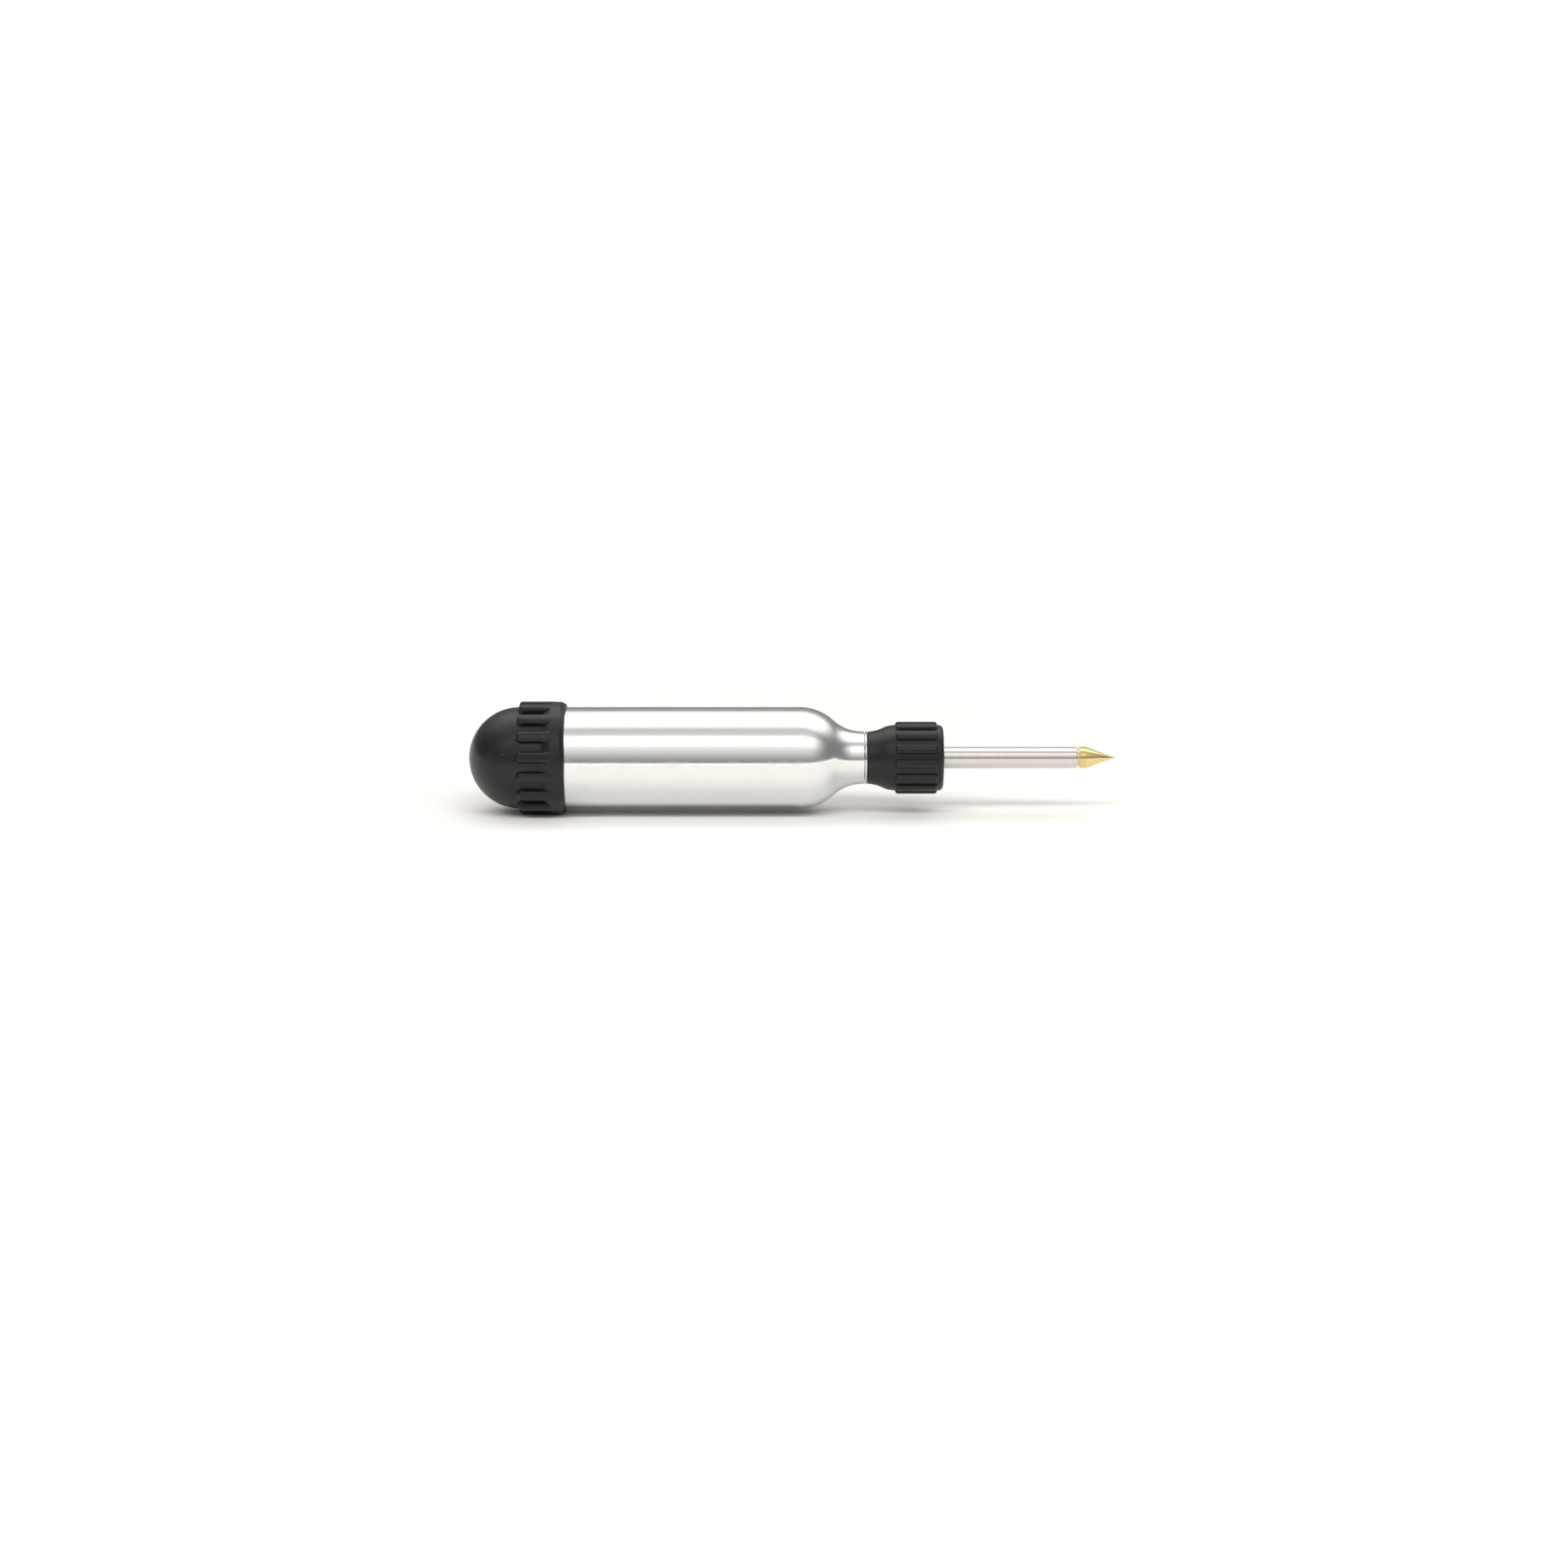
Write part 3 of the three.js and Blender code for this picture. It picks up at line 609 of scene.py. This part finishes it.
# ---- Loaded plug --------------------------------------------------------------------------------
# A turned brass point with a stem that sits in the tube's mouth, and a twisted fibre cord soaked in
# sticky black rubber that is glued in the stem. The point goes in first, and both stay in the tyre.
TIP_RADIUS = 2.7
TIP_CONE = 7.3
TIP_BODY = 8.95
STEM_RADIUS = 2.1
STEM_REAR = 10.25
CORD_SOCKET_RADIUS = 1.65
CORD_SOCKET_DEPTH = 2.6
GROOVES_BEHIND_CONE = (1.25, 0.7, 0.18)
GROOVE_DEPTH = 0.08
GROOVE_HALF_WIDTH = 0.1


def brass_point(point):
    """The tip of a plug with its sharp end at a station, on the tool's axis."""
    grooves = []
    for behind in GROOVES_BEHIND_CONE:
        middle = point - TIP_CONE - behind
        grooves += [(middle - GROOVE_HALF_WIDTH, TIP_RADIUS), (middle, TIP_RADIUS - GROOVE_DEPTH),
                    (middle + GROOVE_HALF_WIDTH, TIP_RADIUS)]
    rear = point - STEM_REAR
    outline = rounded([
        (rear + CORD_SOCKET_DEPTH, 0), (rear + CORD_SOCKET_DEPTH, CORD_SOCKET_RADIUS),
        (rear, CORD_SOCKET_RADIUS, 0.1), (rear, STEM_RADIUS, 0.1),
        (point - TIP_BODY, STEM_RADIUS), (point - TIP_BODY, TIP_RADIUS, 0.16), *grooves,
        (point - TIP_CONE, TIP_RADIUS, 0.3), (point - 0.06, 0.05), (point, 0)], steps=4)
    return spun(outline, columns=72, closed=False)


CORD_LENGTH = 30.5
CORD_RADIUS = 1.95
CORD_LAY = 11.0
CORD_STRANDS = 3
GLUE_GAP = 0.1


def twisted_cord(point, seed):
    """The cord of a plug: strands laid round each other, with stray fibres and a frayed cut end."""
    draw = random.Random(seed)
    front = point - STEM_REAR - GLUE_GAP
    rear = front - CORD_LENGTH
    glued_front = front + CORD_SOCKET_DEPTH - GLUE_GAP
    glued_radius = CORD_SOCKET_RADIUS - GLUE_GAP
    outline = [(rear, 0), *((rear, CORD_RADIUS * share) for share in (0.3, 0.6, 0.85)),
               *along(rear + 0.15, front - 0.15, CORD_RADIUS * 0.97, 0.26),
               (front - 0.02, glued_radius), (glued_front, glued_radius), (glued_front, 0)]
    bm = spun(outline, columns=54, closed=False)
    lumps = [(draw.uniform(0.5, 1.6), draw.uniform(0, 2 * pi), draw.uniform(0.02, 0.05))
             for _ in range(5)]
    for v in bm.verts:
        distance = hypot(v.co.y, v.co.z)
        if distance < 0.05 or v.co.x > front - 0.1:
            continue
        bearing = atan2(v.co.y, v.co.z)
        lay = bearing - 2 * pi * v.co.x / CORD_LAY
        strands = abs(cos(lay * CORD_STRANDS / 2)) ** 0.6
        fibres = 0.022 * sin(lay * 17 + 2.2 * sin(v.co.x * 1.3)) + 0.012 * sin(lay * 31 + v.co.x)
        swell = sum(size * sin(rate * v.co.x + start + bearing) for rate, start, size in lumps)
        scale = 0.79 + 0.19 * strands + min(0.02, fibres + 0.5 * swell - 0.01)
        if v.co.x < rear + 0.1:
            v.co.x += 0.25 * abs(sin(3 * bearing + seed)) * distance / CORD_RADIUS
        v.co.y *= scale
        v.co.z *= scale
    return bm


plug_point = span("plug_tip")[1]
tip = finished("brass_tip", brass_point(plug_point), turned_brass)
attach(tip, "plug")
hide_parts("plug_tip")


def sticky_cord():
    """Fibre soaked in rubber: near black, with shiny and dull patches and fine stray fibres."""
    material = bpy.data.materials.new("sticky_cord")
    material.use_nodes = True
    tree = material.node_tree
    shader = tree.nodes["Principled BSDF"]
    place = node(tree, "ShaderNodeTexCoord")
    patches = node(tree, "ShaderNodeTexNoise", Scale=700.0, Detail=4.0, Roughness=0.7)
    fibre = node(tree, "ShaderNodeTexNoise", Scale=4200.0, Detail=3.0, Distortion=1.5)
    for texture in (patches, fibre):
        tree.links.new(place.outputs["Object"], texture.inputs["Vector"])
    tint = node(tree, "ShaderNodeMix", data_type="RGBA")
    tint.inputs["A"].default_value = (0.010, 0.010, 0.010, 1)
    tint.inputs["B"].default_value = (0.045, 0.043, 0.040, 1)
    lift = node(tree, "ShaderNodeMapRange", From_Min=0.52, From_Max=0.75)
    tree.links.new(fibre.outputs["Fac"], lift.inputs["Value"])
    tree.links.new(lift.outputs[0], tint.inputs["Factor"])
    tree.links.new(tint.outputs["Result"], shader.inputs["Base Color"])
    matt = node(tree, "ShaderNodeMapRange", From_Min=0.35, From_Max=0.65, To_Min=0.42, To_Max=0.85)
    tree.links.new(patches.outputs["Fac"], matt.inputs["Value"])
    tree.links.new(matt.outputs[0], shader.inputs["Roughness"])
    bump = node(tree, "ShaderNodeBump", Strength=1.0, Distance=0.00006)
    tree.links.new(fibre.outputs["Fac"], bump.inputs["Height"])
    tree.links.new(bump.outputs["Normal"], shader.inputs["Normal"])
    return material


tarred_fibre = sticky_cord()
cord = finished("fibre_cord", twisted_cord(plug_point, seed=1), tarred_fibre)
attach(cord, "plug")
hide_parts("plug_cord")

# ---- Spare plugs --------------------------------------------------------------------------------
# The same plugs again, lying side by side along the wall of the store with their points forward.
for number in (1, 2, 3):
    low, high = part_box(f"spare_{number}_tip")
    spare_point = (high.x - STATION_ZERO) * 1000
    shift = Vector((0, (low.y + high.y) * 500, ((low.z + high.z) / 2 - AXIS_HEIGHT) * 1000))
    for bm, half, material, slot in (
            (brass_point(spare_point), "tip", turned_brass, "brass"),
            (twisted_cord(spare_point, seed=number + 1), "cord", tarred_fibre, "tarred_cord")):
        bmesh.ops.translate(bm, vec=shift, verts=bm.verts)
        piece = finished(f"spare_plug_{number}_{half}", bm, material)
        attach(piece, "handle")
        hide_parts(f"spare_{number}_{half}")

# ---- Cleaning brush -----------------------------------------------------------------------------
# Two steel wires twisted together with a spiral of white fibres held between them, like a pipe
# cleaner. It scrubs the hole before the plug goes in.
wire_rear, wire_front = span("brush_wire")
pile_rear, pile_front = span("brush_pile")
pile_radius = radius("brush_pile")
low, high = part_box("brush_wire")
brush_shift = Vector((0, (low.y + high.y) * 500, ((low.z + high.z) / 2 - AXIS_HEIGHT) * 1000))
WIRE_RADIUS = 0.22
WIRE_TWIST = 3.2
TUFT_FIBRES = 46
TUFTS = 140
FIBRE_ROOT = 0.35
END_MARGIN = 0.7

bm = bmesh.new()
for side in (1, -1):
    ring = bmesh.ops.create_circle(bm, segments=8, radius=WIRE_RADIUS, cap_ends=True)["verts"]
    bmesh.ops.rotate(bm, verts=ring, cent=(0, 0, 0), matrix=Matrix.Rotation(pi / 2, 3, "Y"))
    bmesh.ops.translate(bm, verts=ring, vec=(wire_rear, 0, side * WIRE_RADIUS))
    turns = (wire_front - wire_rear) / WIRE_TWIST
    steps = round(turns * 14)
    rim = list({e for v in ring for e in v.link_edges}) + list(ring)
    made = bmesh.ops.spin(
        bm, geom=rim, cent=(0, 0, 0), axis=(1, 0, 0), angle=turns * 2 * pi, steps=steps,
        dvec=((wire_front - wire_rear) / steps, 0, 0), use_merge=False, use_duplicate=False)
    end_rim = [g for g in made["geom_last"] if isinstance(g, bmesh.types.BMEdge)]
    bmesh.ops.contextual_create(bm, geom=end_rim)
bmesh.ops.recalc_face_normals(bm, faces=bm.faces)
bmesh.ops.translate(bm, vec=brush_shift, verts=bm.verts)
wire = finished("brush_twisted_wire", bm, drawn_stainless)
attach(wire, "handle")
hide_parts("brush_wire")

draw = random.Random(7)
bm = bmesh.new()
for number in range(TUFT_FIBRES):
    bearing = pi * (number % 2) + draw.gauss(0, 0.45)
    length = pile_radius * draw.uniform(0.82, 0.985) - FIBRE_ROOT
    made = bmesh.ops.create_cone(bm, segments=3, radius1=0.08, radius2=0.05, depth=length, cap_ends=True)
    matrix = (Matrix.Translation((pile_rear + END_MARGIN + draw.uniform(-0.3, 0.3), 0, 0))
              @ Matrix.Rotation(bearing, 4, "X") @ Matrix.Rotation(draw.gauss(0, 0.13), 4, "Y")
              @ Matrix.Translation((0, 0, FIBRE_ROOT + length / 2)))
    bmesh.ops.transform(bm, matrix=matrix, verts=made["verts"])
tuft_step = (pile_front - pile_rear - 2 * END_MARGIN) / TUFTS
bmesh.ops.spin(bm, geom=bm.verts[:] + bm.edges[:] + bm.faces[:], cent=(0, 0, 0), axis=(1, 0, 0),
               angle=2 * pi * TUFTS * tuft_step / WIRE_TWIST, steps=TUFTS, dvec=(tuft_step, 0, 0),
               use_merge=False, use_duplicate=True)
for v in bm.verts:
    v.co.x = min(pile_front, max(pile_rear, v.co.x))
bmesh.ops.translate(bm, vec=brush_shift, verts=bm.verts)
white_fibre = bpy.data.materials.new("white_fibre")
white_fibre.use_nodes = True
tree = white_fibre.node_tree
shader = tree.nodes["Principled BSDF"]
shader.inputs["Roughness"].default_value = 0.85
shader.inputs["Sheen Weight"].default_value = 0.3
place = node(tree, "ShaderNodeTexCoord")
soiling = node(tree, "ShaderNodeTexNoise", Scale=300.0, Detail=3.0)
tree.links.new(place.outputs["Object"], soiling.inputs["Vector"])
tint = node(tree, "ShaderNodeMix", data_type="RGBA")
tint.inputs["A"].default_value = (0.88, 0.88, 0.87, 1)
tint.inputs["B"].default_value = (0.74, 0.74, 0.72, 1)
tree.links.new(soiling.outputs["Fac"], tint.inputs["Factor"])
tree.links.new(tint.outputs["Result"], shader.inputs["Base Color"])
pile = finished("brush_fibres", bm, white_fibre)
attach(pile, "handle")
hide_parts("brush_pile")

# ---- End cap ------------------------------------------------------------------------------------
# Black moulded rubber: a round dome for the palm, grip ribs to pull it off by, and a rolled lip that
# grips the handle's edge. It is pushed over the spigot and closes the store.
cap_front = span("end_cap")[1]
DOME_RADIUS = 12.65
DOME_WALL = 2.2
RIM_RADIUS = 13.95
RIM_REAR = 20.3
LIP_FRONT = cap_front + 0.35
CAP_RIB_REAR = 12.5
CAP_RIB_FRONT = 21.6
SLEEVE_RADIUS = SPIGOT_RADIUS + 0.06
CAP_RIB = GripRibs(count=16, crown=14.05, half_width=1.6, rounding=0.85, corner=1.4)
LIP_FIT = 0.05

outline = rounded([
    *arc((DOME_RADIUS, 0), DOME_RADIUS, 180, 94, 34),
    *along(CAP_RIB_REAR - 0.1, CAP_RIB_REAR + 1.9, DOME_RADIUS, 0.1),
    *along(CAP_RIB_REAR + 2.6, RIM_REAR - 2.5, DOME_RADIUS, 0.8),
    (RIM_REAR - 1.7, DOME_RADIUS, 1.5), (RIM_REAR + 0.6, RIM_RADIUS, 1.5),
    (LIP_FRONT - 1.2, RIM_RADIUS, 0.22), (LIP_FRONT - 0.05, RIM_RADIUS - 0.62, 0.35),
    (LIP_FRONT - 0.02, handle_radius + LIP_FIT, 0.2),
    (SPIGOT_SHOULDER - LIP_FIT, handle_radius + LIP_FIT),
    (SPIGOT_SHOULDER - LIP_FIT, SLEEVE_RADIUS, 0.2),
    (handle_rear - 0.1, SLEEVE_RADIUS), (handle_rear - 0.3, DOME_RADIUS - DOME_WALL),
    *arc((DOME_RADIUS, 0), DOME_RADIUS - DOME_WALL, 92, 180, 24)], steps=8)
bm = ribbed(outline, CAP_RIB)
raise_ribs(bm, CAP_RIB, rear=CAP_RIB_REAR, front=CAP_RIB_FRONT, outer=11.5)


def smooth_step(low, high, value):
    """A share from 0 to 1 that starts and ends gently."""
    share = min(1, max(0, (value - low) / (high - low)))
    return share * share * (3 - 2 * share)


# The lip's front edge is a little wavy, as soft rubber is.
for v in bm.verts:
    if v.co.x > RIM_REAR:
        bearing = atan2(v.co.y, v.co.z)
        wave = 0.06 * sin(3 * bearing + 0.6) + 0.04 * sin(5 * bearing + 2.1) + 0.03 * sin(8 * bearing)
        v.co.x += (wave - 0.13) * smooth_step(RIM_REAR, LIP_FRONT, v.co.x)
cap = finished("rubber_cap", bm, black_rubber)
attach(cap, "cap")
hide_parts("end_cap")
